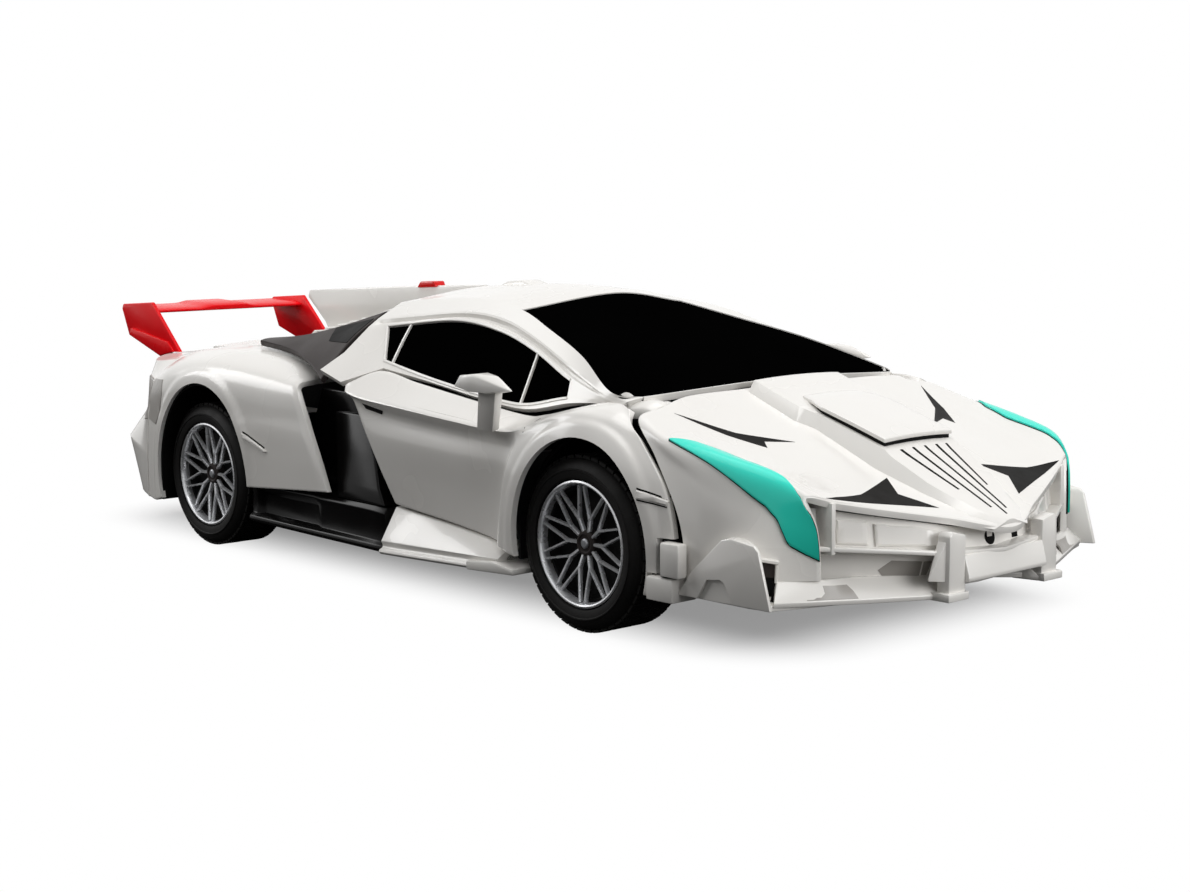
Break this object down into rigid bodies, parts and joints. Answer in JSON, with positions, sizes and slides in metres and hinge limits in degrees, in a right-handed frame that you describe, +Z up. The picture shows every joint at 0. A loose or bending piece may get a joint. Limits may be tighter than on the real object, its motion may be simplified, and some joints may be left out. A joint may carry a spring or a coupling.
{
  "type": "transforming robot toy car",
  "caption": "Low wedge-shaped toy supercar whose front half stands up on the rear half to become a robot, with door arms, folding nose, hidden head, driven rear wheels and a tail wing.",
  "frame": {"origin": "middle of the box's underside, on the ground between the wheels", "axes": "+X to the nose, +Y to the car's left, +Z up; car form is the rest pose"},
  "size_m": [0.408, 0.158, 0.092],
  "materials": {
    "white_body": "gloss white ABS",
    "black_trim": "satin black ABS",
    "black_gloss": "gloss black ABS",
    "dark_grey": "satin dark grey ABS",
    "red_wing": "gloss red ABS",
    "turquoise_lens": "turquoise tinted gloss plastic",
    "red_lens": "red tinted gloss plastic",
    "silver_rim": "silver painted plastic",
    "tyre_rubber": "moulded black rubber",
    "frame_plastic": "satin near-black ABS",
    "steel": "drawn steel",
    "gear_plastic": "natural nylon",
    "motor_can": "plated steel can",
    "cell_wrap": "shrink-wrapped cells",
    "board_green": "coated circuit board",
    "head_grey": "silver-grey painted plastic"
  },
  "bodies": {
    "rear_base": {"rear_chassis": "frame_plastic", "waist_pin": "steel", "lift_sector": "gear_plastic", "rear_diffuser": "black_trim", "rear_bumper": "white_body", "tail_light_right": "red_lens", "tail_light_left": "red_lens", "rear_fender_right": "white_body", "rear_fender_left": "white_body", "leg_frame_right": "black_gloss", "leg_frame_left": "black_gloss", "drive_motor_right": "motor_can", "drive_motor_left": "motor_can", "wing_endplate_right": "red_wing", "wing_endplate_left": "red_wing", "wing_blade": "red_wing"},
    "torso": {"torso_tray": "frame_plastic", "spine_frame": "frame_plastic", "lift_motor": "motor_can", "engine_cover": "white_body", "buttress_right": "dark_grey", "buttress_left": "dark_grey", "cabin_shell": "white_body", "windscreen": "black_gloss", "side_window_right": "black_gloss", "side_window_left": "black_gloss", "cowl_bar": "frame_plastic", "shoulder_beam": "frame_plastic", "battery_pack": "cell_wrap", "circuit_board": "board_green"},
    "lift_pinion": {"lift_pinion": "gear_plastic"},
    "nose": {"nose_shell": "white_body", "hood_plate": "white_body", "headlight_right": "turquoise_lens", "headlight_left": "turquoise_lens", "front_bumper": "white_body", "nose_frame": "frame_plastic"},
    "head": {"robot_head": "head_grey"},
    "battery_door": {"battery_door": "frame_plastic"},
    "power_switch": {"power_switch": "black_trim"},
    "transform_button": {"transform_button": "red_wing"},
    "arm_right": {"arm_shell_right": "white_body", "arm_frame_right": "frame_plastic", "mirror_right": "white_body"},
    "front_right_wheel": {"front_right_tyre": "tyre_rubber", "front_right_rim": "silver_rim"},
    "rear_right_wheel": {"rear_right_tyre": "tyre_rubber", "rear_right_rim": "silver_rim", "rear_right_axle": "steel"},
    "drive_pinion_right": {"drive_pinion_right": "gear_plastic"},
    "arm_left": {"arm_shell_left": "white_body", "arm_frame_left": "frame_plastic", "mirror_left": "white_body"},
    "front_left_wheel": {"front_left_tyre": "tyre_rubber", "front_left_rim": "silver_rim"},
    "rear_left_wheel": {"rear_left_tyre": "tyre_rubber", "rear_left_rim": "silver_rim", "rear_left_axle": "steel"},
    "drive_pinion_left": {"drive_pinion_left": "gear_plastic"}
  },
  "joints": [
    {"name": "stand_up", "type": "hinge", "parent": "rear_base", "child": "torso", "pos_m": [-0.136, 0, 0.057], "axis": [0, -1, 0], "range_deg": [0, 90]},
    {"name": "lift_pinion_spin", "type": "hinge", "parent": "torso", "child": "lift_pinion", "pos_m": [-0.12305, 0, 0.057], "axis": [0, -1, 0], "range_deg": [0, 150]},
    {"name": "nose_flip", "type": "hinge", "parent": "torso", "child": "nose", "pos_m": [0.1212, 0, 0.0673], "axis": [0, -1, 0], "range_deg": [0, 60]},
    {"name": "head_turn", "type": "hinge", "parent": "torso", "child": "head", "pos_m": [0.1475, 0, 0.0315], "axis": [1, 0, 0], "range_deg": [-40, 40]},
    {"name": "battery_door_slide", "type": "slide", "parent": "torso", "child": "battery_door", "axis": [-1, 0, 0], "range_m": [0, 0.04]},
    {"name": "power_switch_slide", "type": "slide", "parent": "torso", "child": "power_switch", "axis": [1, 0, 0], "range_m": [-0.002, 0.002]},
    {"name": "transform_button_press", "type": "slide", "parent": "torso", "child": "transform_button", "axis": [0, 0, 1], "range_m": [0, 0.0015], "stiffness_N_per_m": 400, "springref_m": -0.001},
    {"name": "arm_right_swing", "type": "hinge", "parent": "torso", "child": "arm_right", "pos_m": [0.146, -0.0697, 0.025], "axis": [0, 0, 1], "range_deg": [0, 70]},
    {"name": "front_right_wheel_spin", "type": "hinge", "parent": "arm_right", "child": "front_right_wheel", "pos_m": [0.108, -0.0695, 0.025], "axis": [0, 1, 0], "continuous": true},
    {"name": "rear_right_wheel_spin", "type": "hinge", "parent": "rear_base", "child": "rear_right_wheel", "pos_m": [-0.088, -0.0695, 0.025], "axis": [0, 1, 0], "continuous": true},
    {"name": "drive_pinion_right_spin", "type": "hinge", "parent": "rear_base", "child": "drive_pinion_right", "pos_m": [-0.07595, 0, 0.025], "axis": [0, 1, 0], "continuous": true},
    {"name": "arm_left_swing", "type": "hinge", "parent": "torso", "child": "arm_left", "pos_m": [0.146, 0.0697, 0.025], "axis": [0, 0, -1], "range_deg": [0, 70]},
    {"name": "front_left_wheel_spin", "type": "hinge", "parent": "arm_left", "child": "front_left_wheel", "pos_m": [0.108, 0.0695, 0.025], "axis": [0, 1, 0], "continuous": true},
    {"name": "rear_left_wheel_spin", "type": "hinge", "parent": "rear_base", "child": "rear_left_wheel", "pos_m": [-0.088, 0.0695, 0.025], "axis": [0, 1, 0], "continuous": true},
    {"name": "drive_pinion_left_spin", "type": "hinge", "parent": "rear_base", "child": "drive_pinion_left", "pos_m": [-0.07595, 0, 0.025], "axis": [0, 1, 0], "continuous": true}
  ],
  "couplings": [
    {"joint": "lift_pinion_spin", "follows": "stand_up", "ratio": 1.6667},
    {"joint": "drive_pinion_right_spin", "follows": "rear_right_wheel_spin", "ratio": -2.4},
    {"joint": "drive_pinion_left_spin", "follows": "rear_left_wheel_spin", "ratio": -2.4}
  ]
}
